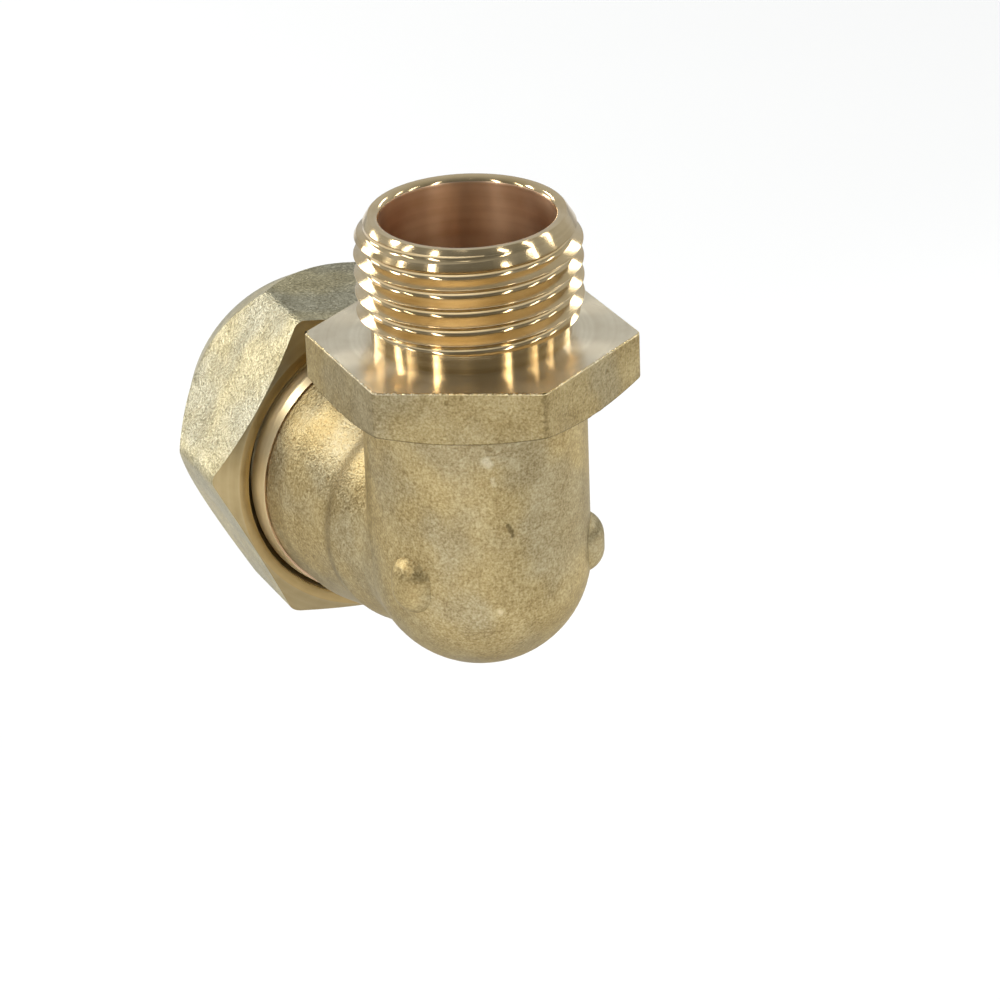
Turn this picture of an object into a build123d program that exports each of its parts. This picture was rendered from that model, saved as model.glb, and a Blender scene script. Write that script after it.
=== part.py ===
from build123d import *
import os
from math import cos, radians, sin, tan

# Compression elbow: a forged and turned brass elbow with a 1/2 inch male thread on one end
# and a compression joint for 20 mm multilayer pipe on the other.
# Millimetres. +Z runs up the threaded spigot, +Y out along the pipe end,
# and the origin is where the two waterway axes cross.

# Threaded spigot
thread_major_diameter = 20.955
waterway_diameter = 16.0
waterway_overrun = 2.5
drill_point_angle = 118.0
centre_to_mouth = 34.1
spigot_length = 12.0
mouth_chamfer_width = 1.4
mouth_chamfer_length = 2.2
mouth_edge_break = 0.3
relief_depth = 1.25
relief_width = 1.7
relief_runout = 0.9

# Hexagon flange under the thread
flange_across_flats = 26.8
flange_height = 5.1
flange_underside_angle = 19.0

# Forged bend
barrel_diameter = 20.8
round_end_drop = 0.45
bend_fillet = 1.0
side_boss_diameter = 5.0
side_boss_length = 6.2
side_boss_proud = 1.25
side_boss_angle = 26.0
side_boss_height = 0.5

# Forged arm that flares towards the nut, in lengths along the pipe axis from the crossing
neck_inset = 0.15
neck_length = 4.4
lower_flare_length = 4.3
lower_flare_rise = 1.3
valley_width = 1.3
upper_flare_length = 6.2
upper_flare_inset = 0.45
crease_width = 0.7
forged_edge_inset = 0.2
neck_blend = 4.0
valley_blend = 1.2

# Turned collar, nut thread and pipe socket
nut_thread_diameter = 27.0
nut_thread_end = 30.0
thread_edge_break = 0.5
collar_start = 20.0
collar_proud = 0.35
collar_flare = 0.4
collar_width = 2.2
socket_clearance = 0.35
socket_depth = 5.5
socket_mouth_width = 1.65

# Pipe that the joint takes, and the stem that fits inside it
pipe_diameter = 20.0
pipe_wall = 2.0
stem_clearance = 0.2
stem_bore_diameter = 11.0
stem_tip = 44.5
stem_tip_chamfer = 1.2
groove_width = 2.0
groove_depth = 1.25
inner_groove_start = 32.0
groove_spacing = 5.0

# Seals
ring_section_diameter = 1.45
section_sides = 8
seal_clearance = 0.05
washer_thickness = 1.6
washer_clearance = 0.1

# Compression nut, with its wall measured from the thread to the flats
nut_wall = 1.8
nut_face = 21.8
nut_length = 19.2
nut_turn = 4.2
nut_edge_radius = 1.4
nut_face_inset = 0.1
nut_face_chamfer_angle = 30.0
nut_taper_start = 35.8
nut_taper_angle = 27.0
nut_mouth_clearance = 0.45
nut_mouth_depth = 1.3
thread_clearance = 0.1
nut_thread_length = 9.4
pipe_hole_clearance = 0.3
pipe_hole_edge_break = 0.4

# Split clamp ring
clamp_clearance = 0.15
clamp_wall = 1.95
clamp_chamber_clearance = 0.25
clamp_seat_clearance = 0.15
clamp_cone_angle = 30.0
clamp_nose_angle = 45.0
clamp_land = 0.6
clamp_length = 8.6
clamp_slot_width = 2.0
clamp_slot_turn = 60.0

# Values worked out from the sizes above
thread_radius = thread_major_diameter / 2
waterway_radius = waterway_diameter / 2
drill_point_depth = waterway_radius / tan(radians(drill_point_angle / 2))
mouth_land_radius = thread_radius - mouth_chamfer_width
relief_radius = thread_radius - relief_depth
flange_top = centre_to_mouth - spigot_length
flange_bottom = flange_top - flange_height
flange_corner_radius = flange_across_flats / 2 / cos(radians(30))
barrel_radius = barrel_diameter / 2
side_boss_radius = side_boss_diameter / 2
side_boss_reach = barrel_radius + side_boss_proud - side_boss_radius
neck_radius = barrel_radius - neck_inset
nut_thread_radius = nut_thread_diameter / 2
collar_radius = nut_thread_radius + collar_proud
collar_start_radius = collar_radius - collar_flare
collar_end = collar_start + collar_width
lower_flare_end = neck_length + lower_flare_length
lower_flare_radius = neck_radius + lower_flare_rise
valley_end = lower_flare_end + valley_width
upper_flare_end = valley_end + upper_flare_length
upper_flare_radius = collar_start_radius - upper_flare_inset
forged_edge_radius = collar_start_radius - forged_edge_inset
pipe_radius = pipe_diameter / 2
socket_radius = pipe_radius + socket_clearance
socket_floor = nut_thread_end - socket_depth
socket_mouth_radius = socket_radius + socket_mouth_width
socket_mouth_depth = socket_mouth_width * tan(radians(clamp_nose_angle))
stem_radius = pipe_radius - pipe_wall - stem_clearance
stem_bore_radius = stem_bore_diameter / 2
groove_radius = stem_radius - groove_depth
outer_groove_start = inner_groove_start + groove_spacing
nut_end = nut_face + nut_length
nut_bore_radius = nut_thread_radius + thread_clearance
nut_flat_radius = nut_bore_radius + nut_wall
nut_corner_radius = nut_flat_radius / cos(radians(30))
nut_face_radius = nut_flat_radius - nut_face_inset
nut_mouth_radius = collar_radius + nut_mouth_clearance
pipe_hole_radius = pipe_radius + pipe_hole_clearance
clamp_bore_radius = pipe_radius + clamp_clearance
clamp_outer_radius = clamp_bore_radius + clamp_wall
chamber_radius = clamp_outer_radius + clamp_chamber_clearance
clamp_end_radius = clamp_bore_radius + clamp_land
clamp_nose_length = (clamp_outer_radius - clamp_end_radius) * tan(radians(clamp_nose_angle))
clamp_cone_length = (clamp_outer_radius - clamp_end_radius) / tan(radians(clamp_cone_angle))
# The ring's nose sits in the body's socket mouth, one seat clearance off its cone
nose_depth = (socket_mouth_radius - clamp_end_radius) * tan(radians(clamp_nose_angle))
clamp_start = nut_thread_end - nose_depth + clamp_seat_clearance / cos(radians(clamp_nose_angle))
clamp_end = clamp_start + clamp_length
# The nut's inner cone runs parallel to the ring's, one seat clearance further out
cone_offset = clamp_seat_clearance / cos(radians(clamp_cone_angle))
chamber_cone_start = clamp_end - clamp_cone_length - (clamp_chamber_clearance - cone_offset) / tan(
    radians(clamp_cone_angle)
)
chamber_cone_end = chamber_cone_start + (chamber_radius - pipe_hole_radius) / tan(radians(clamp_cone_angle))
nut_thread_stop = nut_face + nut_mouth_depth + nut_thread_length
pipe_plane = Plane(origin=(0, nut_face, 0), x_dir=(1, 0, 0), z_dir=(0, 1, 0))


def section(plane, points):
    """A closed profile of (radius, height) points, ready to be turned about an axis of its plane."""
    with BuildSketch(plane) as profile:
        with BuildLine():
            Polyline(*points, close=True)
        make_face()
    return profile.sketch


os.makedirs("parts", exist_ok=True)

# Elbow body: bend, flange, spigot, collar and pipe stem, forged and turned from one bar
with BuildPart() as elbow_body:
    # Flared arm, collar, nut thread, pipe socket and stem
    with BuildSketch(Plane.XY):
        with BuildLine():
            FilletPolyline(
                (neck_radius, 0),
                (neck_radius, neck_length),
                (lower_flare_radius, lower_flare_end),
                (lower_flare_radius, valley_end),
                (upper_flare_radius, upper_flare_end),
                radius=[neck_blend, valley_blend, valley_blend],
            )
            Polyline(
                (upper_flare_radius, upper_flare_end),
                (upper_flare_radius, upper_flare_end + crease_width),
                (forged_edge_radius, collar_start),
                (collar_start_radius, collar_start),
                (collar_radius, collar_end),
                (nut_thread_radius, collar_end),
                (nut_thread_radius, nut_thread_end - thread_edge_break),
                (nut_thread_radius - thread_edge_break, nut_thread_end),
                (socket_mouth_radius, nut_thread_end),
                (socket_radius, nut_thread_end - socket_mouth_depth),
                (socket_radius, socket_floor),
                (stem_radius, socket_floor),
                (stem_radius, inner_groove_start),
                (groove_radius, inner_groove_start),
                (groove_radius, inner_groove_start + groove_width),
                (stem_radius, inner_groove_start + groove_width),
                (stem_radius, outer_groove_start),
                (groove_radius, outer_groove_start),
                (groove_radius, outer_groove_start + groove_width),
                (stem_radius, outer_groove_start + groove_width),
                (stem_radius, stem_tip - 2 * stem_tip_chamfer),
                (stem_radius - stem_tip_chamfer, stem_tip),
                (0, stem_tip),
                (0, 0),
                (neck_radius, 0),
            )
        make_face()
    revolve(axis=Axis.Y)
    # Upright barrel with a round bottom end, blended into the arm
    with BuildSketch(Plane.XZ):
        with BuildLine():
            CenterArc((0, -round_end_drop), barrel_radius, -90, 90)
            Polyline(
                (barrel_radius, -round_end_drop),
                (barrel_radius, flange_bottom),
                (0, flange_bottom),
                (0, -round_end_drop - barrel_radius),
            )
        make_face()
    revolve(axis=Axis.Z)
    fillet(elbow_body.edges(Select.NEW), bend_fillet)
    # Long rounded bosses on both sides of the bend
    for boss_side in (-1, 1):
        boss_plane = Plane(
            origin=(
                boss_side * side_boss_reach * cos(radians(side_boss_angle)),
                -side_boss_reach * sin(radians(side_boss_angle)),
                side_boss_height,
            ),
            x_dir=(1, 0, 0),
            z_dir=(0, -1, 0),
        )
        with BuildSketch(boss_plane):
            SlotOverall(side_boss_length, side_boss_diameter, rotation=90)
            Rectangle(
                side_boss_diameter,
                side_boss_length,
                align=(Align.MAX, Align.CENTER),
                mode=Mode.SUBTRACT,
            )
        revolve(axis=Axis(boss_plane.origin, (0, 0, 1)))
    # Hexagon flange with corners over the pipe axis, its underside corners turned off
    with BuildSketch(Plane.XY.offset(flange_bottom)):
        RegularPolygon(flange_across_flats / 2, 6, major_radius=False, rotation=30)
    extrude(amount=flange_height)
    outside_corner = flange_corner_radius + 1
    underside_rise = (outside_corner - flange_across_flats / 2) * tan(radians(flange_underside_angle))
    turned = section(
        Plane.XZ,
        [
            (flange_across_flats / 2, flange_bottom),
            (outside_corner, flange_bottom),
            (outside_corner, flange_bottom + underside_rise),
        ],
    )
    revolve(turned, axis=Axis.Z, mode=Mode.SUBTRACT)
    # Spigot at the thread's major diameter, with its relief groove and chamfered mouth
    turned = section(
        Plane.XZ,
        [
            (0, flange_top),
            (relief_radius, flange_top),
            (relief_radius, flange_top + relief_width),
            (thread_radius, flange_top + relief_width + relief_runout),
            (thread_radius, centre_to_mouth - mouth_chamfer_length),
            (mouth_land_radius, centre_to_mouth),
            (0, centre_to_mouth),
        ],
    )
    revolve(turned, axis=Axis.Z)
    # Waterway: drilled down the spigot a little past the pipe axis, and along the stem to meet it
    turned = section(
        Plane.XZ,
        [
            (0, -waterway_overrun - drill_point_depth),
            (waterway_radius, -waterway_overrun),
            (waterway_radius, centre_to_mouth - mouth_edge_break),
            (waterway_radius + mouth_edge_break, centre_to_mouth),
            (0, centre_to_mouth),
        ],
    )
    revolve(turned, axis=Axis.Z, mode=Mode.SUBTRACT)
    turned = section(
        Plane.XY,
        [(0, 0), (stem_bore_radius, 0), (stem_bore_radius, stem_tip), (0, stem_tip)],
    )
    revolve(turned, axis=Axis.Y, mode=Mode.SUBTRACT)

elbow_body.part.label = "elbow_body"
export_step(elbow_body.part, "parts/elbow_body.step")

# Compression nut: a hexagon with a turned face, a long forged taper and a conical seat inside
with BuildPart() as compression_nut:
    with BuildSketch(pipe_plane):
        RegularPolygon(nut_flat_radius, 6, major_radius=False, rotation=nut_turn)
    extrude(amount=nut_length)
    fillet(compression_nut.edges().filter_by(Axis.Y), nut_edge_radius)
    outside_corner = nut_corner_radius + 1
    face_rise = (outside_corner - nut_face_radius) * tan(radians(nut_face_chamfer_angle))
    taper_run = (outside_corner - nut_flat_radius) / tan(radians(nut_taper_angle))
    end_radius = nut_flat_radius - (nut_end - nut_taper_start) * tan(radians(nut_taper_angle))
    turned = section(
        Plane.XY,
        [
            (0, nut_face),
            (nut_face_radius, nut_face),
            (outside_corner, nut_face + face_rise),
            (outside_corner, nut_taper_start - taper_run),
            (end_radius, nut_end),
            (0, nut_end),
        ],
    )
    revolve(turned, axis=Axis.Y, mode=Mode.INTERSECT)
    turned = section(
        Plane.XY,
        [
            (0, nut_face),
            (nut_mouth_radius, nut_face),
            (nut_mouth_radius, nut_face + nut_mouth_depth / 2),
            (nut_bore_radius, nut_face + nut_mouth_depth),
            (nut_bore_radius, nut_thread_stop),
            (chamber_radius, nut_thread_stop),
            (chamber_radius, chamber_cone_start),
            (pipe_hole_radius, chamber_cone_end),
            (pipe_hole_radius, nut_end - pipe_hole_edge_break),
            (pipe_hole_radius + pipe_hole_edge_break, nut_end),
            (0, nut_end),
        ],
    )
    revolve(turned, axis=Axis.Y, mode=Mode.SUBTRACT)

compression_nut.part.label = "compression_nut"
export_step(compression_nut.part, "parts/compression_nut.step")

# Split clamp ring: a cone at each end, and a slot so that it can close on the pipe
with BuildPart() as clamp_ring:
    turned = section(
        Plane.XY,
        [
            (clamp_bore_radius, clamp_start),
            (clamp_end_radius, clamp_start),
            (clamp_outer_radius, clamp_start + clamp_nose_length),
            (clamp_outer_radius, clamp_end - clamp_cone_length),
            (clamp_end_radius, clamp_end),
            (clamp_bore_radius, clamp_end),
        ],
    )
    revolve(turned, axis=Axis.Y)
    with BuildSketch(Plane(origin=(0, clamp_start, 0), x_dir=(1, 0, 0), z_dir=(0, 1, 0))):
        with PolarLocations(0, 1, start_angle=clamp_slot_turn):
            Rectangle(
                2 * clamp_outer_radius,
                clamp_slot_width,
                align=(Align.MIN, Align.CENTER),
            )
    extrude(amount=clamp_length, mode=Mode.SUBTRACT)

clamp_ring.part.label = "clamp_ring"
export_step(clamp_ring.part, "parts/clamp_ring.step")

# Rubber rings in the stem's two grooves
section_radius = ring_section_diameter / 2
ring_radius = groove_radius + seal_clearance + section_radius
ring_names = {
    "inner_seal_ring": inner_groove_start,
    "outer_seal_ring": outer_groove_start,
}
for ring_name, groove_start in ring_names.items():
    with BuildPart() as seal_ring:
        with BuildSketch(Plane.XY):
            with Locations((ring_radius, groove_start + groove_width / 2)):
                RegularPolygon(section_radius, section_sides, major_radius=False, rotation=180 / section_sides)
        revolve(axis=Axis.Y)
    seal_ring.part.label = ring_name
    export_step(seal_ring.part, f"parts/{ring_name}.step")

# Insulating washer at the bottom of the pipe socket
with BuildPart() as insulating_washer:
    turned = section(
        Plane.XY,
        [
            (stem_radius + washer_clearance, socket_floor),
            (socket_radius - washer_clearance, socket_floor),
            (socket_radius - washer_clearance, socket_floor + washer_thickness),
            (stem_radius + washer_clearance, socket_floor + washer_thickness),
        ],
    )
    revolve(turned, axis=Axis.Y)

insulating_washer.part.label = "insulating_washer"
export_step(insulating_washer.part, "parts/insulating_washer.step")
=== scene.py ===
import math

import bpy
from mathutils import Matrix, Vector


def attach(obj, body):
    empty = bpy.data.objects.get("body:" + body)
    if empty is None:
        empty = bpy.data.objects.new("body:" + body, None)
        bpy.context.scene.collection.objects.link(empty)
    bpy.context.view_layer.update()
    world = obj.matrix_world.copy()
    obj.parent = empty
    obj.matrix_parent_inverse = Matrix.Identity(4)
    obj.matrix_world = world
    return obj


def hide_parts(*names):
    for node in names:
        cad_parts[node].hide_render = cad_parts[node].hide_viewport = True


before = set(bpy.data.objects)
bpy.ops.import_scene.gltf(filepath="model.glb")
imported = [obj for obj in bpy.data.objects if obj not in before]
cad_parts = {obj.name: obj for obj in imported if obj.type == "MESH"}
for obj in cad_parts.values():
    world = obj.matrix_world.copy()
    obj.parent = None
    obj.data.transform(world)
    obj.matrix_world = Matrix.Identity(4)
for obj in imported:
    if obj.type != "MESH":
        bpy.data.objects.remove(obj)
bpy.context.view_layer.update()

# A forged brass compression elbow, dressed over its solids. Sizes are in millimetres and are
# turned into metres by MM, the solids' own unit in this scene.
MM = 0.001

# Threaded spigot, about +Z
spigot_major_radius = 10.4775
spigot_pitch = 1.814
spigot_depth = 1.1
spigot_flank_angle = 27.5
spigot_start = 22.5
spigot_relief_radius = 9.2275
spigot_relief_end = 23.8
spigot_runout_end = 24.7
spigot_chamfer_start = 31.9
spigot_mouth = 34.1
spigot_land_radius = 9.0775
spigot_crest_height = 24.184
spigot_turn_steps = 180
thread_clearance = 0.2
waterway_radius = 8.0
mouth_edge_break = 0.6
mouth_outer_break = 0.12
mouth_outer_flat = 0.05

# Nut thread on the arm, about +Y
arm_thread_radius = 13.5
arm_thread_pitch = 1.5
arm_thread_depth = 0.92
arm_thread_flank_angle = 30
arm_thread_start = 22.2
arm_thread_end = 30.0
arm_thread_edge_break = 0.5
arm_thread_relief = 0.6
arm_thread_runout = 1.4
arm_thread_wall = 0.6
arm_turn_steps = 120

# Rubber rings on the stem
seal_ring_radius = 7.325
seal_section_radius = 0.725
inner_seal_place = 33.0
outer_seal_place = 38.0

# Places used to find faces and edges
flange_top = 22.1
collar_start = 20.0
forged_edge_radius = 13.25
stem_bore_radius = 5.5
valley_place = 9.35
flange_inner_radius = 12
nut_face = 21.8
nut_end = 41.0

# Edge breaks
flange_corner_break = 0.4
flange_lower_break = 0.12
flange_top_break = 0.13
nut_rim_break = 0.12
ring_edge_break = 0.12

# The forged skin's ragged end: how far it stands out, and waves of size, count and shift round it
ragged_reach = 0.28
ragged_waves = ((0.10, 7, 0), (0.08, 19, 1), (0.05, 43, 0))

# How close points lie before they are merged, and how exactly the thread rods' ends are cut
copy_merge = 0.002
ring_merge = 0.001
rod_merge = 0.003
rod_cut = 0.0001


def alone(piece):
    """Selects one piece and nothing else."""
    bpy.ops.object.select_all(action="DESELECT")
    piece.select_set(True)
    bpy.context.view_layer.objects.active = piece


def edit(piece):
    """Opens one piece in edit mode with all of it selected."""
    alone(piece)
    bpy.ops.object.mode_set(mode="EDIT")
    bpy.ops.mesh.select_all(action="SELECT")


def done():
    bpy.ops.object.mode_set(mode="OBJECT")


def apply_modifier(piece, kind, **settings):
    """Adds a modifier with these settings and applies it."""
    alone(piece)
    bpy.ops.object.modifier_add(type=kind)
    modifier = piece.modifiers[-1]
    for key, value in settings.items():
        setattr(modifier, key, value)
    bpy.ops.object.modifier_apply(modifier=modifier.name)


def dressed_copy(node, name):
    """A merged copy of a CAD node's mesh, with its flat faces made whole."""
    piece = bpy.data.objects.new(name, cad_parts[node].data.copy())
    bpy.context.scene.collection.objects.link(piece)
    piece.data.materials.clear()
    edit(piece)
    bpy.ops.mesh.remove_doubles(threshold=copy_merge * MM)
    bpy.ops.mesh.customdata_custom_splitnormals_clear()
    bpy.ops.mesh.dissolve_limited(angle_limit=math.radians(0.3))
    done()
    return piece


def select_edges(piece, wanted):
    """Selects the edges whose two ends, in millimetres, pass the test."""
    alone(piece)
    bpy.ops.object.mode_set(mode="EDIT")
    bpy.ops.mesh.select_mode(type="EDGE")
    bpy.ops.mesh.select_all(action="DESELECT")
    bpy.ops.object.mode_set(mode="OBJECT")
    points = [v.co / MM for v in piece.data.vertices]
    for edge in piece.data.edges:
        edge.select = wanted(points[edge.vertices[0]], points[edge.vertices[1]])
    bpy.ops.object.mode_set(mode="EDIT")


def bevel_edges(piece, wanted, width, segments, material=-1):
    """Rounds the chosen edges, and gives the new strip a finish of its own if one is named."""
    select_edges(piece, wanted)
    bpy.ops.mesh.bevel(offset=width * MM, segments=segments, affect="EDGES", material=material)
    bpy.ops.mesh.select_mode(type="VERT")
    done()


def smooth(piece, angle):
    alone(piece)
    bpy.ops.object.shade_smooth_by_angle(angle=math.radians(angle))


def draw_line(name, points):
    """A line through (radius, height) points in the XZ plane, drawn by extruding one vertex."""
    bpy.ops.object.select_all(action="DESELECT")
    bpy.ops.mesh.primitive_plane_add(size=MM)
    piece = bpy.context.object
    piece.name = name
    bpy.ops.object.mode_set(mode="EDIT")
    bpy.ops.mesh.select_all(action="SELECT")
    bpy.ops.mesh.merge(type="CENTER")
    places = [Vector((r, 0, z)) * MM for r, z in points]
    bpy.ops.transform.translate(value=places[0])
    for start, end in zip(places, places[1:]):
        bpy.ops.mesh.extrude_region_move(TRANSFORM_OT_translate={"value": end - start})
    done()
    return piece


def turn(name, points, steps):
    """A closed ring turned about Z from a closed line of (radius, height) points."""
    piece = draw_line(name, points + points[:1])
    edit(piece)
    bpy.ops.mesh.remove_doubles(threshold=ring_merge * MM)
    bpy.ops.mesh.select_all(action="SELECT")
    bpy.ops.mesh.spin(steps=steps, angle=2 * math.pi, center=(0, 0, 0), axis=(0, 0, 1))
    bpy.ops.mesh.select_all(action="SELECT")
    bpy.ops.mesh.remove_doubles(threshold=ring_merge * MM)
    bpy.ops.mesh.normals_make_consistent(inside=False)
    done()
    return piece


def tooth(major, depth, flank, crest_rounding, root_rounding, steps):
    """One thread tooth as (radius, height) points, rounded at its crest and its roots."""
    minor = major - depth
    swing = math.radians(90 - flank)
    crest = [swing * (2 * k / steps - 1) for k in range(steps + 1)]
    top = [
        (major - crest_rounding * (1 - math.cos(a)), crest_rounding * math.sin(a)) for a in crest
    ]
    foot = minor + root_rounding * (1 - math.cos(swing))
    run = top[-1][1] + (top[-1][0] - foot) * math.tan(math.radians(flank))
    centre = run + root_rounding * math.sin(swing)
    root = [swing * (1 - k / steps) for k in range(steps + 1)]
    fall = [
        (minor + root_rounding * (1 - math.cos(a)), centre - root_rounding * math.sin(a))
        for a in root
    ]
    rise = [(r, -z) for r, z in reversed(fall)]
    return rise + top + fall


def threaded_rod(name, one_tooth, pitch, first_crest, low, high, steps):
    """A rod with a right-hand thread: a row of teeth screwed round one turn, with flat ends."""
    count = int((high - low) / pitch) + 4
    bottom = first_crest - pitch * math.ceil((first_crest - low) / pitch + 1)
    points = [(r, bottom + z + pitch * k) for k in range(count) for r, z in one_tooth]
    rod = draw_line(name, points)
    apply_modifier(
        rod,
        "SCREW",
        axis="Z",
        angle=2 * math.pi,
        screw_offset=pitch * MM,
        steps=steps,
        render_steps=steps,
    )
    edit(rod)
    bpy.ops.mesh.remove_doubles(threshold=rod_merge * MM)
    for height, side in ((low, -1), (high, 1)):
        bpy.ops.mesh.select_all(action="SELECT")
        bpy.ops.mesh.bisect(
            plane_co=(0, 0, height * MM),
            plane_no=(0, 0, side),
            use_fill=True,
            clear_outer=True,
            threshold=rod_cut * MM,
        )
    bpy.ops.mesh.select_all(action="SELECT")
    bpy.ops.mesh.normals_make_consistent(inside=False)
    done()
    return rod


def keep_inside(piece, envelope):
    """Cuts a piece to what lies inside the envelope, which is then removed."""
    apply_modifier(piece, "BOOLEAN", operation="INTERSECT", solver="EXACT", object=envelope)
    bpy.data.objects.remove(envelope)


# Materials. Patterns read Object coordinates, in metres, so a noise scale of 1000 is about 1 mm.


def group(name, outputs):
    """A shared pattern that reads a place on the piece and puts out the named masks."""
    tree = bpy.data.node_groups.new(name, "ShaderNodeTree")
    tree.interface.new_socket(name="Place", in_out="INPUT", socket_type="NodeSocketVector")
    for output in outputs:
        tree.interface.new_socket(name=output, in_out="OUTPUT", socket_type="NodeSocketFloat")
    return tree, tree.nodes.new("NodeGroupInput"), tree.nodes.new("NodeGroupOutput")


def noise(tree, place, scale, detail=2.0, roughness=0.5):
    node = tree.nodes.new("ShaderNodeTexNoise")
    node.inputs["Scale"].default_value = scale
    node.inputs["Detail"].default_value = detail
    node.inputs["Roughness"].default_value = roughness
    tree.links.new(place, node.inputs["Vector"])
    return node.outputs["Fac"]


def maths(tree, operation, a, b=None, c=None):
    node = tree.nodes.new("ShaderNodeMath")
    node.operation = operation
    for socket, value in zip(node.inputs, (a, b, c)):
        if value is None:
            continue
        if isinstance(value, (int, float)):
            socket.default_value = value
        else:
            tree.links.new(value, socket)
    return node.outputs[0]


def spread(tree, value, low, high, to_low=0.0, to_high=1.0):
    node = tree.nodes.new("ShaderNodeMapRange")
    node.interpolation_type = "SMOOTHSTEP"
    limits = (("From Min", low), ("From Max", high), ("To Min", to_low), ("To Max", to_high))
    for key, number in limits:
        node.inputs[key].default_value = number
    tree.links.new(value, node.inputs["Value"])
    return node.outputs["Result"]


def tint(tree, value, stops):
    """A colour that runs through the (position, colour) stops."""
    node = tree.nodes.new("ShaderNodeValToRGB")
    ramp = node.color_ramp
    while len(ramp.elements) < len(stops):
        ramp.elements.new(0.5)
    for element, (position, colour) in zip(ramp.elements, stops):
        element.position = position
        element.color = (*colour, 1)
    tree.links.new(value, node.inputs["Fac"])
    return node.outputs["Color"]


def blend(tree, share, first, second):
    """Goes from the first colour to the second; either may be a plain colour or a socket."""
    node = tree.nodes.new("ShaderNodeMix")
    node.data_type = "RGBA"
    tree.links.new(share, node.inputs[0])
    for socket, colour in ((node.inputs[6], first), (node.inputs[7], second)):
        if isinstance(colour, tuple):
            socket.default_value = (*colour, 1)
        else:
            tree.links.new(colour, socket)
    return node.outputs[2]


# Sandblasted skin of a forging: fine grain, soft blotches, slow changes of shade and scattered pits
blasted, blasted_in, blasted_out = group(
    "sandblasted_skin", ("Grain", "Blotch", "Shade", "Pits", "Height")
)
place = blasted_in.outputs["Place"]
fine = noise(blasted, place, scale=4600, detail=1.0, roughness=0.5)
medium = noise(blasted, place, scale=2300, detail=2.0, roughness=0.6)
broad = noise(blasted, place, scale=300, detail=3.0, roughness=0.6)
slow = noise(blasted, place, scale=120, detail=2.0, roughness=0.5)
cells = blasted.nodes.new("ShaderNodeTexVoronoi")
cells.inputs["Scale"].default_value = 620
blasted.links.new(place, cells.inputs["Vector"])
pit = spread(blasted, cells.outputs["Distance"], 0.05, 0.2, 1.0, 0.0)
sparse = spread(blasted, noise(blasted, place, scale=330, detail=1.0), 0.56, 0.66)
pits = maths(blasted, "MULTIPLY", pit, sparse)
grain = maths(blasted, "MULTIPLY_ADD", fine, 0.5, maths(blasted, "MULTIPLY", medium, 0.5))
lumps = maths(blasted, "MULTIPLY_ADD", broad, 1.1, grain)
height = maths(blasted, "SUBTRACT", lumps, maths(blasted, "MULTIPLY", pits, 0.5))
for output, value in (
    ("Grain", grain), ("Blotch", broad), ("Shade", slow), ("Pits", pits), ("Height", height)
):
    blasted.links.new(value, blasted_out.inputs[output])

# Lathe marks round the Z axis of the place that is put in
lathe, lathe_in, lathe_out = group("lathe_marks", ("Marks", "Bands", "Stain"))
split = lathe.nodes.new("ShaderNodeSeparateXYZ")
lathe.links.new(lathe_in.outputs["Place"], split.inputs[0])
x_squared = maths(lathe, "POWER", split.outputs[0], 2)
y_squared = maths(lathe, "POWER", split.outputs[1], 2)
radius = maths(lathe, "SQRT", maths(lathe, "ADD", x_squared, y_squared))
ring = lathe.nodes.new("ShaderNodeCombineXYZ")
lathe.links.new(radius, ring.inputs[0])
lathe.links.new(split.outputs[2], ring.inputs[2])
for output, where, scale, detail, roughness in (
    ("Marks", ring.outputs[0], 7000, 2.0, 0.6),
    ("Bands", ring.outputs[0], 1100, 2.0, 0.5),
    ("Stain", lathe_in.outputs["Place"], 240, 3.0, 0.6),
):
    lathe.links.new(noise(lathe, where, scale, detail, roughness), lathe_out.inputs[output])


def new_material(name):
    material = bpy.data.materials.new(name)
    material.use_nodes = True
    tree = material.node_tree
    shader = tree.nodes["Principled BSDF"]
    return material, tree, shader, tree.nodes.new("ShaderNodeTexCoord").outputs["Object"]


def use_group(tree, pattern, place):
    node = tree.nodes.new("ShaderNodeGroup")
    node.node_tree = pattern
    tree.links.new(place, node.inputs["Place"])
    return node.outputs


def bump(tree, shader, height, strength, distance):
    node = tree.nodes.new("ShaderNodeBump")
    node.inputs["Strength"].default_value = strength
    node.inputs["Distance"].default_value = distance * MM
    tree.links.new(height, node.inputs["Height"])
    tree.links.new(node.outputs["Normal"], shader.inputs["Normal"])


def vector_maths(tree, operation, a, b):
    node = tree.nodes.new("ShaderNodeVectorMath")
    node.operation = operation
    for socket, value in zip(node.inputs, (a, b)):
        if isinstance(value, Vector):
            socket.default_value = value
        else:
            tree.links.new(value, socket)
    return node.outputs["Value" if operation in ("DOT_PRODUCT", "DISTANCE") else "Vector"]


def mark(tree, place, start, end, radius):
    """A soft mark along a short line between two places in millimetres."""
    start, line = Vector(start) * MM, (Vector(end) - Vector(start)) * MM
    from_start = vector_maths(tree, "SUBTRACT", place, start)
    along = vector_maths(tree, "DOT_PRODUCT", from_start, line / line.length_squared)
    node = tree.nodes.new("ShaderNodeVectorMath")
    node.operation = "SCALE"
    node.inputs[0].default_value = line
    held = maths(tree, "MINIMUM", maths(tree, "MAXIMUM", along, 0), 1)
    tree.links.new(held, node.inputs["Scale"])
    away = vector_maths(tree, "DISTANCE", from_start, node.outputs["Vector"])
    return spread(tree, away, 0.2 * radius * MM, radius * MM, 1, 0)


# Dark brown for painted shade in the valley and under the bend, and for a dark pit
shade_and_pit_dark = (0.10, 0.07, 0.03)


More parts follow.
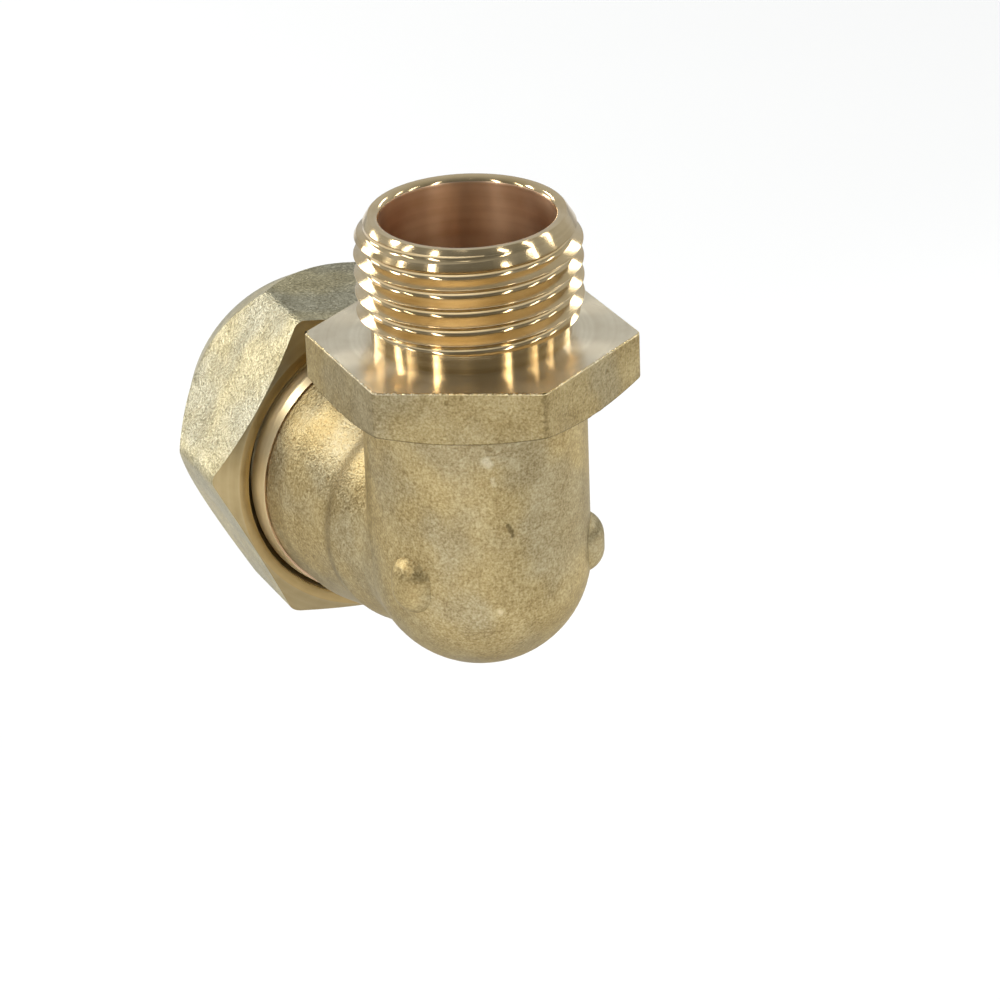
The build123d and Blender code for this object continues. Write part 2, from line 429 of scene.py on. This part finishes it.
def bend_shade_and_marks(tree, place, colour):
    """Painted shade in the arm's valley and towards the bend's bottom; pale pips and a dark pit in
    front.
    """
    split = tree.nodes.new("ShaderNodeSeparateXYZ")
    tree.links.new(place, split.inputs[0])
    # Painted shade: a dark band along the arm's valley crease, strongest towards its upper end
    away = maths(tree, "ABSOLUTE", maths(tree, "SUBTRACT", split.outputs[1], valley_place * MM))
    valley = spread(tree, away, 0, 1.5 * MM, 0.55, 0)
    upper = spread(tree, split.outputs[2], -8 * MM, 7 * MM, 0.45, 1)
    below = spread(tree, split.outputs[2], 14 * MM, 16 * MM, 1, 0)
    valley_shade = maths(tree, "MULTIPLY", maths(tree, "MULTIPLY", valley, upper), below)
    colour = blend(tree, valley_shade, colour, shade_and_pit_dark)
    # Painted shade: the bend darkens towards its bottom
    underside = spread(tree, split.outputs[2], -13 * MM, -1 * MM, 0.32, 0)
    colour = blend(tree, underside, colour, shade_and_pit_dark)
    wobble = tree.nodes.new("ShaderNodeTexNoise")
    wobble.inputs["Scale"].default_value = 2200
    tree.links.new(place, wobble.inputs["Vector"])
    shift = tree.nodes.new("ShaderNodeVectorMath")
    shift.operation = "MULTIPLY_ADD"
    shift.inputs[1].default_value = (0.6 * MM,) * 3
    shift.inputs[2].default_value = (-0.3 * MM,) * 3
    tree.links.new(wobble.outputs["Color"], shift.inputs[0])
    ragged_place = vector_maths(tree, "ADD", place, shift.outputs["Vector"])
    for start, end, radius, share, paint in (
        ((-3.6, -9.76, 13.9), (-3.3, -9.86, 13.6), 0.65, 0.42, (0.76, 0.70, 0.52)),
        ((-3.05, -9.95, 12.1), (-2.95, -9.97, 11.5), 0.35, 0.35, (0.68, 0.60, 0.42)),
        ((-2.85, -9.95, -1.4), (-2.7, -9.98, -1.6), 0.45, 0.5, (0.72, 0.62, 0.40)),
        ((-1.8, -10.24, 7.3), (-1.36, -10.31, 6.0), 0.32, 0.8, shade_and_pit_dark),
    ):
        share = maths(tree, "MULTIPLY", mark(tree, ragged_place, start, end, radius), share)
        colour = blend(tree, share, colour, paint)
    return colour


golden_cast = (1.05, 1.03, 0.97)
greyer_cast = (0.92, 0.95, 1.04)
blasted_roughness_change = 0.07
blasted_edge_tint = (0.70, 0.68, 0.64, 1)


def blasted_brass(name, dark, middle, pale, roughness, strength, distance, marks=None):
    """Forged and sandblasted brass: grainy, golden or greyer in places, with shallow pits."""
    material, tree, shader, place = new_material(name)
    skin = use_group(tree, blasted, place)
    grainy = maths(tree, "MULTIPLY", skin["Grain"], 0.7)
    tone = maths(tree, "MULTIPLY_ADD", skin["Blotch"], 0.3, grainy)
    tone = maths(tree, "SUBTRACT", tone, maths(tree, "MULTIPLY", skin["Pits"], 0.2))
    stops = ((0.36, dark), (0.5, middle), (0.64, pale))
    golden, greyer = (
        tint(tree, tone, [(at, tuple(c * s for c, s in zip(paint, cast))) for at, paint in stops])
        for cast in (golden_cast, greyer_cast)
    )
    colour = blend(tree, spread(tree, skin["Shade"], 0.4, 0.6), golden, greyer)
    # marks may add painted shade, as the bend's marks do
    if marks:
        colour = marks(tree, place, colour)
    tree.links.new(colour, shader.inputs["Base Color"])
    smoothest, dullest = roughness - blasted_roughness_change, roughness + blasted_roughness_change
    rough = spread(tree, skin["Grain"], 0.3, 0.7, smoothest, dullest)
    tree.links.new(rough, shader.inputs["Roughness"])
    shader.inputs["Metallic"].default_value = 1.0
    shader.inputs["Specular Tint"].default_value = blasted_edge_tint
    bump(tree, shader, skin["Height"], strength, distance)
    return material


def turned_brass(name, dark, pale, roughness, stretch, strength, distance, about_y=False):
    """Machined brass: lathe marks round the spigot's axis or the pipe's, and gloss across them."""
    material, tree, shader, place = new_material(name)
    along = tree.nodes.new("ShaderNodeVectorMath")
    along.operation = "CROSS_PRODUCT"
    along.inputs[0].default_value = (0, 1, 0) if about_y else (0, 0, 1)
    tree.links.new(place, along.inputs[1])
    turned = tree.nodes.new("ShaderNodeVectorTransform")
    turned.vector_type = "VECTOR"
    turned.convert_from, turned.convert_to = "OBJECT", "WORLD"
    tree.links.new(along.outputs[0], turned.inputs[0])
    tree.links.new(turned.outputs[0], shader.inputs["Tangent"])
    shader.inputs["Anisotropic"].default_value = stretch
    shader.inputs["Anisotropic Rotation"].default_value = 0.25
    if about_y:
        mapping = tree.nodes.new("ShaderNodeMapping")
        mapping.inputs["Rotation"].default_value = (math.pi / 2, 0, 0)
        tree.links.new(place, mapping.inputs["Vector"])
        place = mapping.outputs["Vector"]
    marks = use_group(tree, lathe, place)
    stained = maths(tree, "MULTIPLY", marks["Stain"], 0.5)
    tone = maths(tree, "MULTIPLY_ADD", marks["Bands"], 0.5, stained)
    tree.links.new(tint(tree, tone, ((0.36, dark), (0.62, pale))), shader.inputs["Base Color"])
    rough = spread(tree, marks["Stain"], 0.3, 0.7, roughness - 0.01, roughness + 0.02)
    tree.links.new(rough, shader.inputs["Roughness"])
    shader.inputs["Metallic"].default_value = 1.0
    bump(tree, shader, marks["Marks"], strength, distance)
    return material


forged = blasted_brass(
    "forged_brass",
    dark=(0.257, 0.189, 0.086),
    middle=(0.39, 0.308, 0.155),
    pale=(0.53, 0.44, 0.255),
    roughness=0.45,
    strength=0.6,
    distance=0.10,
    # painted shade in the valley and under the bend, with the bend's marks
    marks=bend_shade_and_marks,
)
# A darker copy of the forged skin for the flange's sides: painted shade
flange_side = blasted_brass(
    "flange_blasted_brass",
    dark=(0.213, 0.157, 0.071),
    middle=(0.322, 0.255, 0.129),
    pale=(0.44, 0.365, 0.211),
    roughness=0.45,
    strength=0.6,
    distance=0.10,
)
# Dark skin for the strip along the flange's lower edges: painted shade under the flange
edge_line = blasted_brass(
    "flange_lower_edge",
    dark=(0.12, 0.09, 0.04),
    middle=(0.19, 0.145, 0.07),
    pale=(0.28, 0.22, 0.11),
    roughness=0.5,
    strength=0.5,
    distance=0.10,
)
# Darker skin for the flange's rounded upright corners: painted shade
corner = blasted_brass(
    "flange_corner",
    dark=(0.20, 0.15, 0.07),
    middle=(0.31, 0.24, 0.12),
    pale=(0.44, 0.36, 0.20),
    roughness=0.45,
    strength=0.6,
    distance=0.10,
)
nut_skin = blasted_brass(
    "nut_blasted_brass",
    dark=(0.273, 0.235, 0.136),
    middle=(0.442, 0.395, 0.254),
    pale=(0.658, 0.60, 0.414),
    roughness=0.38,
    strength=1.0,
    distance=0.14,
)
burr = blasted_brass(
    "bright_edge",
    dark=(0.66, 0.52, 0.26),
    middle=(0.80, 0.66, 0.40),
    pale=(0.92, 0.82, 0.58),
    roughness=0.24,
    strength=0.9,
    distance=0.12,
)
# Near-black skin for the step where the forging ends: painted shade, on top of the real groove
ragged = blasted_brass(
    "ragged_forged_edge",
    dark=(0.03, 0.02, 0.01),
    middle=(0.08, 0.055, 0.025),
    pale=(0.26, 0.19, 0.09),
    roughness=0.55,
    strength=0.8,
    distance=0.12,
)
turned_z = turned_brass(
    "turned_brass_spigot",
    dark=(0.50, 0.365, 0.18),
    pale=(0.645, 0.505, 0.30),
    roughness=0.14,
    stretch=0.8,
    strength=0.2,
    distance=0.02,
)
faced = turned_brass(
    "faced_brass_flange",
    dark=(0.66, 0.56, 0.39),
    pale=(0.80, 0.70, 0.52),
    roughness=0.24,
    stretch=1.0,
    strength=0.3,
    distance=0.02,
)
turned_y = turned_brass(
    "turned_brass_arm",
    dark=(0.80, 0.66, 0.39),
    pale=(0.92, 0.80, 0.53),
    roughness=0.40,
    stretch=0.5,
    strength=0.3,
    distance=0.02,
    about_y=True,
)
collar = turned_brass(
    "turned_brass_collar",
    dark=(0.74, 0.60, 0.35),
    pale=(0.86, 0.73, 0.47),
    roughness=0.37,
    stretch=0.5,
    strength=0.3,
    distance=0.02,
    about_y=True,
)
nut_faced = turned_brass(
    "faced_brass_nut",
    dark=(0.25, 0.172, 0.068),
    pale=(0.37, 0.267, 0.12),
    roughness=0.32,
    stretch=0.6,
    strength=0.3,
    distance=0.02,
    about_y=True,
)
nut_chamfer = turned_brass(
    "chamfered_brass_nut",
    dark=(0.265, 0.20, 0.096),
    pale=(0.36, 0.285, 0.155),
    roughness=0.34,
    stretch=0.6,
    strength=0.3,
    distance=0.02,
    about_y=True,
)
bored = turned_brass(
    "bored_brass",
    dark=(0.60, 0.40, 0.25),
    pale=(0.74, 0.53, 0.35),
    roughness=0.34,
    stretch=0.6,
    strength=0.3,
    distance=0.02,
)


def moulded(name, tone, dark, pale, gloss, smoothest, dullest, strength):
    """Moulded rubber or plastic; tone and gloss name the masks that change its shade and gloss."""
    material, tree, shader, place = new_material(name)
    skin = use_group(tree, blasted, place)
    shade = tint(tree, skin[tone], ((0.3, dark), (0.7, pale)))
    tree.links.new(shade, shader.inputs["Base Color"])
    rough = spread(tree, skin[gloss], 0.3, 0.7, smoothest, dullest)
    tree.links.new(rough, shader.inputs["Roughness"])
    bump(tree, shader, skin["Grain"], strength, 0.03)
    return material


rubber = moulded(
    "seal_rubber",
    tone="Grain",
    dark=(0.012, 0.012, 0.013),
    pale=(0.03, 0.03, 0.031),
    gloss="Blotch",
    smoothest=0.42,
    dullest=0.58,
    strength=0.15,
)
plastic = moulded(
    "washer_plastic",
    tone="Blotch",
    dark=(0.74, 0.73, 0.69),
    pale=(0.83, 0.82, 0.78),
    gloss="Grain",
    smoothest=0.45,
    dullest=0.58,
    strength=0.1,
)

# Elbow body: the forging, cut off in the relief where the threaded spigot begins
body = dressed_copy("elbow_body", "forged_elbow")
edit(body)
bpy.ops.mesh.bisect(
    plane_co=(0, 0, spigot_start * MM), plane_no=(0, 0, 1), clear_outer=True
)
bpy.ops.mesh.select_mode(type="EDGE")
bpy.ops.mesh.select_all(action="DESELECT")
bpy.ops.mesh.select_non_manifold()
bpy.ops.mesh.bridge_edge_loops()
bpy.ops.mesh.select_mode(type="VERT")
done()


def pipe_distance(p):
    return math.hypot(p.x, p.z)


def spigot_distance(p):
    return math.hypot(p.x, p.y)


# The nut thread's plain wall is drawn in to the root, under the thread that goes over it
alone(body)
bpy.ops.object.mode_set(mode="EDIT")
bpy.ops.mesh.select_all(action="DESELECT")
bpy.ops.object.mode_set(mode="OBJECT")
for vertex in body.data.vertices:
    p = vertex.co / MM
    on_wall = abs(pipe_distance(p) - arm_thread_radius) < 0.03
    vertex.select = on_wall and arm_thread_start - 0.01 < p.y < arm_thread_end - 0.3
bpy.ops.object.mode_set(mode="EDIT")
shrink = (arm_thread_radius - arm_thread_depth - 0.3) / arm_thread_radius
bpy.ops.transform.resize(value=(shrink, 1, shrink), center_override=(0, 0, 0))
done()

body_finishes = (
    forged, turned_z, faced, turned_y, bored, burr, ragged, edge_line, corner, flange_side, collar
)
(
    FORGED, TURNED_Z, FACED, TURNED_Y, BORED, BURR, RAGGED, EDGE_LINE, CORNER, FLANGE_SIDE, COLLAR
) = range(len(body_finishes))
for material in body_finishes:
    body.data.materials.append(material)
for face in body.data.polygons:
    p = face.center / MM
    in_waterway = spigot_distance(p) < waterway_radius + 0.1
    in_stem_bore = pipe_distance(p) < stem_bore_radius + 0.1
    if (in_waterway or in_stem_bore) and p.dot(face.normal) < 0:
        face.material_index = BORED
    elif p.z > flange_top - 0.02:
        face.material_index = FACED if face.normal.z > 0.9 else TURNED_Z
    # The step faces take the near-black skin, painted shade in the groove
    elif abs(p.y - collar_start) < 0.02 and pipe_distance(p) < forged_edge_radius + 0.15:
        face.material_index = RAGGED
    elif p.y > collar_start + 0.01:
        on_collar = p.y < arm_thread_start + 0.01 and pipe_distance(p) > forged_edge_radius
        face.material_index = COLLAR if on_collar else TURNED_Y
    # The flange's upright sides take the darker copy of the skin, painted shade
    elif (
        p.z > flange_top - 5
        and spigot_distance(p) > flange_inner_radius
        and abs(face.normal.z) < 0.1
    ):
        face.material_index = FLANGE_SIDE
    else:
        face.material_index = FORGED

# The forged skin ends in a ragged groove where the collar was turned
for vertex in body.data.vertices:
    p = vertex.co / MM
    if abs(p.y - collar_start) < 0.02 and abs(pipe_distance(p) - forged_edge_radius) < 0.03:
        turned_by = math.atan2(p.z, p.x)
        wander = sum(
            size * math.sin(count * turned_by + shift) for size, count, shift in ragged_waves
        )
        vertex.co.y += (ragged_reach + wander) * MM


def on_flange_top(a, b):
    return all(
        abs(p.z - flange_top) < 0.02 and spigot_distance(p) > flange_inner_radius for p in (a, b)
    )


def on_flange_side(a, b):
    upright = abs(a.x - b.x) < 0.02 and abs(a.y - b.y) < 0.02 and abs(a.z - b.z) > 2
    return upright and spigot_distance(a) > flange_inner_radius


def flange_lower_edges():
    """The edges between the flange's flats and its sloping underside."""
    flats, underside = set(), set()
    for face in body.data.polygons:
        p = face.center / MM
        if spigot_distance(p) > 10.5 and 16 < p.z < flange_top - 0.1 and p.y < collar_start - 1:
            if abs(face.normal.z) < 0.1:
                flats.update(face.edge_keys)
            elif face.normal.z < -0.5:
                underside.update(face.edge_keys)
    points = [tuple(v.co / MM) for v in body.data.vertices]
    return {frozenset(points[k] for k in key) for key in flats & underside}


def on_flange_lower_edge(a, b):
    return frozenset((tuple(a), tuple(b))) in lower_edges


# The corner strips take the darker corner skin, painted shade
bevel_edges(body, on_flange_side, flange_corner_break, 3, CORNER)
lower_edges = flange_lower_edges()
# The flange's lower edges take the dark strip, painted shade
bevel_edges(body, on_flange_lower_edge, flange_lower_break, 2, EDGE_LINE)
bevel_edges(body, on_flange_top, flange_top_break, 2, BURR)
smooth(body, 28)
apply_modifier(body, "WEIGHTED_NORMAL", keep_sharp=True)
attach(body, "elbow")
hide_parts("elbow_body")

# Threaded spigot: relief, thread, chamfered mouth and the bore's upper end
spigot = threaded_rod(
    "threaded_spigot",
    tooth(
        spigot_major_radius,
        spigot_depth,
        spigot_flank_angle,
        crest_rounding=0.05,
        root_rounding=0.5,
        steps=6,
    ),
    spigot_pitch,
    first_crest=spigot_crest_height,
    low=spigot_start - 2,
    high=spigot_mouth + 2,
    steps=spigot_turn_steps,
)
chamfer_slope = (spigot_major_radius - spigot_land_radius) / (spigot_mouth - spigot_chamfer_start)
envelope = turn(
    "spigot_envelope",
    [
        (waterway_radius, spigot_start),
        (spigot_relief_radius, spigot_start),
        (spigot_relief_radius, spigot_relief_end),
        (spigot_major_radius + thread_clearance, spigot_runout_end),
        (
            spigot_major_radius + thread_clearance,
            spigot_chamfer_start - thread_clearance / chamfer_slope,
        ),
        (
            spigot_land_radius + mouth_outer_break,
            spigot_mouth - mouth_outer_break / chamfer_slope,
        ),
        (spigot_land_radius - mouth_outer_flat, spigot_mouth),
        *[
            (
                waterway_radius + mouth_edge_break * (1 - math.sin(math.radians(a))),
                spigot_mouth - mouth_edge_break * (1 - math.cos(math.radians(a))),
            )
            for a in (0, 22.5, 45, 67.5, 90)
        ],
    ],
    spigot_turn_steps,
)
keep_inside(spigot, envelope)
SPIGOT_TURNED, SPIGOT_BORED = range(2)
spigot.data.materials.append(turned_z)
spigot.data.materials.append(bored)
for face in spigot.data.polygons:
    inside = spigot_distance(face.center / MM) < waterway_radius + 0.05
    face.material_index = SPIGOT_BORED if inside else SPIGOT_TURNED
smooth(spigot, 30)
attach(spigot, "elbow")

# Nut thread over the arm's end, made upright and laid along the pipe axis
arm_thread = threaded_rod(
    "arm_thread",
    tooth(
        arm_thread_radius,
        arm_thread_depth,
        arm_thread_flank_angle,
        crest_rounding=0.1,
        root_rounding=0.15,
        steps=2,
    ),
    arm_thread_pitch,
    first_crest=arm_thread_start,
    low=arm_thread_start - 2,
    high=arm_thread_end + 2,
    steps=arm_turn_steps,
)
inner = arm_thread_radius - arm_thread_depth - arm_thread_wall
below_root = arm_thread_radius - arm_thread_depth - 0.05
over_crest = arm_thread_radius + thread_clearance
thread_end = arm_thread_end - 0.01
envelope = turn(
    "arm_thread_envelope",
    [
        (inner, arm_thread_start),
        (below_root, arm_thread_start),
        (below_root, arm_thread_start + arm_thread_relief),
        (over_crest, arm_thread_start + arm_thread_runout),
        (over_crest, arm_thread_end - arm_thread_edge_break - thread_clearance),
        (arm_thread_radius - arm_thread_edge_break, thread_end),
        (inner, thread_end),
    ],
    arm_turn_steps,
)
keep_inside(arm_thread, envelope)
alone(arm_thread)
arm_thread.rotation_euler = (-math.pi / 2, 0, 0)
bpy.ops.object.transform_apply(rotation=True)
arm_thread.data.materials.append(turned_y)
smooth(arm_thread, 30)
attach(arm_thread, "elbow")

# Compression nut: blasted flats and taper, turned face and inside
nut = dressed_copy("compression_nut", "hexagon_nut")
NUT_SKIN, NUT_FACED, NUT_CHAMFER, NUT_INSIDE = range(4)
for material in (nut_skin, nut_faced, nut_chamfer, turned_y):
    nut.data.materials.append(material)
for face in nut.data.polygons:
    p = face.center / MM
    outward = face.normal.x * p.x + face.normal.z * p.z
    if face.normal.y < -0.97:
        face.material_index = NUT_FACED
    elif face.normal.y < -0.3:
        face.material_index = NUT_CHAMFER
    elif outward < -0.001 or p.y > nut_end - 0.01:
        face.material_index = NUT_INSIDE
    else:
        face.material_index = NUT_SKIN


def nut_rim(a, b):
    return all(abs(p.y - nut_face) < 0.02 for p in (a, b))


bevel_edges(nut, nut_rim, nut_rim_break, 2)
smooth(nut, 28)
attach(nut, "nut")
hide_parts("compression_nut")

# Split clamp ring and washer inside the joint
for node, body_name, material, record_slot, piece_name in (
    ("clamp_ring", "clamp", turned_y, "ring_brass", "split_ring"),
    ("insulating_washer", "elbow", plastic, "washer_plastic", "plastic_washer"),
):
    piece = dressed_copy(node, piece_name)
    piece.data.materials.append(material)
    apply_modifier(
        piece,
        "BEVEL",
        width=ring_edge_break * MM,
        segments=2,
        limit_method="ANGLE",
        angle_limit=math.radians(35),
    )
    smooth(piece, 35)
    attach(piece, body_name)
    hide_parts(node)

# Rubber rings, round in section where the solids have eight sides
for node, seal_place in (
    ("inner_seal_ring", inner_seal_place),
    ("outer_seal_ring", outer_seal_place),
):
    bpy.ops.object.select_all(action="DESELECT")
    bpy.ops.mesh.primitive_torus_add(
        major_radius=seal_ring_radius * MM,
        minor_radius=seal_section_radius * MM,
        major_segments=96,
        minor_segments=20,
        location=(0, seal_place * MM, 0),
        rotation=(math.pi / 2, 0, 0),
    )
    piece = bpy.context.object
    piece.name = "rubber_" + node
    bpy.ops.object.transform_apply(location=True, rotation=True)
    piece.data.materials.append(rubber)
    smooth(piece, 60)
    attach(piece, "elbow")
    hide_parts(node)

# Pale floor, well below the part, which is held by its spigot; sizes from here on are in metres
floor_size = 8
floor_height = -0.065
bpy.ops.object.select_all(action="DESELECT")
bpy.ops.mesh.primitive_plane_add(size=floor_size, location=(0, 0, floor_height))
floor = bpy.context.object
floor.name = "floor"
pale, tree, shader, place = new_material("pale_floor")
cloudy = noise(tree, place, scale=6, detail=2.0)
nearly_white = tint(tree, cloudy, ((0.3, (0.95, 0.95, 0.95)), (0.7, (0.96, 0.96, 0.96))))
tree.links.new(nearly_white, shader.inputs["Base Color"])
shader.inputs["Roughness"].default_value = 0.9
floor.data.materials.append(pale)

# Camera at the photograph's angle
camera_place = Vector((-155.45, -342.68, 189.83)) * MM
azimuth, elevation, roll = (math.radians(d) for d in (-24.707, 26.171, -2.141))
back = Vector(
    (
        math.sin(azimuth) * math.cos(elevation),
        -math.cos(azimuth) * math.cos(elevation),
        math.sin(elevation),
    )
)
level = Vector((math.cos(azimuth), math.sin(azimuth), 0))
upright = back.cross(level)
right = math.cos(roll) * level + math.sin(roll) * upright
top = -math.sin(roll) * level + math.cos(roll) * upright
bpy.ops.object.camera_add()
camera = bpy.context.object
camera.data.lens = 162
camera.data.sensor_width = 36
camera.data.clip_start = 0.01
facing_part = Matrix((right, top, back)).transposed().to_4x4()
camera.matrix_world = Matrix.Translation(camera_place) @ facing_part
bpy.context.scene.camera = camera


# Soft lamps round the part, all as far from it and of the same faintly warm white
camera_side = math.atan2(back.y, back.x)
lamp_aim = Vector((0, 0.008, 0.008))
lamp_distance = 0.8
lamp_colour = (1.0, 0.98, 0.95)


def softbox(name, side, height_angle, width, tall, radiance):
    """A lamp aimed at the part; its side is its angle from the camera, with the right positive."""
    base = camera_side + math.radians(side)
    lift = math.radians(height_angle)
    towards = Vector(
        (math.cos(base) * math.cos(lift), math.sin(base) * math.cos(lift), math.sin(lift))
    )
    bpy.ops.object.light_add(type="AREA", location=lamp_aim + towards * lamp_distance)
    lamp = bpy.context.object
    lamp.name = name
    lamp.rotation_euler = towards.to_track_quat("Z", "Y").to_euler()
    lamp.data.shape = "RECTANGLE"
    lamp.data.size = width
    lamp.data.size_y = tall
    lamp.data.energy = radiance * math.pi * width * tall
    lamp.data.color = lamp_colour


for name, side, height_angle, width, tall, radiance in (
    ("lamp_left_back", -143, 30, 0.07, 0.24, 18),
    ("lamp_left_low", -121, 11, 0.22, 0.14, 8.5),
    ("lamp_left_side", -98, 36, 0.08, 0.12, 57),
    ("lamp_left_near", -77, 33, 0.04, 0.36, 12),
    ("lamp_left_front", -42, 33, 0.05, 0.45, 20),
    ("lamp_right_front", 42, 33, 0.05, 0.45, 16),
    ("lamp_right_near", 77, 33, 0.05, 0.36, 10),
    ("lamp_right_side", 104, 33, 0.05, 0.20, 13),
    ("lamp_right_back", 146, 31, 0.07, 0.20, 14),
):
    softbox(name, side, height_angle, width, tall, radiance)

# Lamps close over the floor, whose light reaches the part only by way of the floor
floor_lamp_reach = 0.18
floor_lamp_height = 0.185
floor_lamp_size = 0.16
floor_lamp_spread = 60
for name, side, energy in (
    ("lamp_over_front_floor", -16, 0.12),
    ("lamp_over_right_floor", 108, 0.09),
):
    base = camera_side + math.radians(side)
    x, y = floor_lamp_reach * math.cos(base), floor_lamp_reach * math.sin(base)
    bpy.ops.object.light_add(type="AREA", location=(x, y, floor_lamp_height))
    lamp = bpy.context.object
    lamp.name = name
    lamp.data.size = floor_lamp_size
    lamp.data.spread = math.radians(floor_lamp_spread)
    lamp.data.energy = energy

# Room round the lamps: paler behind the part than behind the camera
room_colour = (0.93, 0.97, 1.0, 1)
behind_camera, behind_part = 0.22, 0.70
world = bpy.data.worlds.new("studio")
world.use_nodes = True
tree = world.node_tree
background = tree.nodes["Background"]
background.inputs["Color"].default_value = room_colour
facing = tree.nodes.new("ShaderNodeVectorMath")
facing.operation = "DOT_PRODUCT"
facing.inputs[1].default_value = Vector((-back.x, -back.y, 0)).normalized()
tree.links.new(tree.nodes.new("ShaderNodeTexCoord").outputs["Generated"], facing.inputs[0])
room_strength = spread(tree, facing.outputs["Value"], -1, 1, behind_camera, behind_part)
tree.links.new(room_strength, background.inputs["Strength"])
bpy.context.scene.world = world
bpy.context.scene.view_settings.view_transform = "Standard"
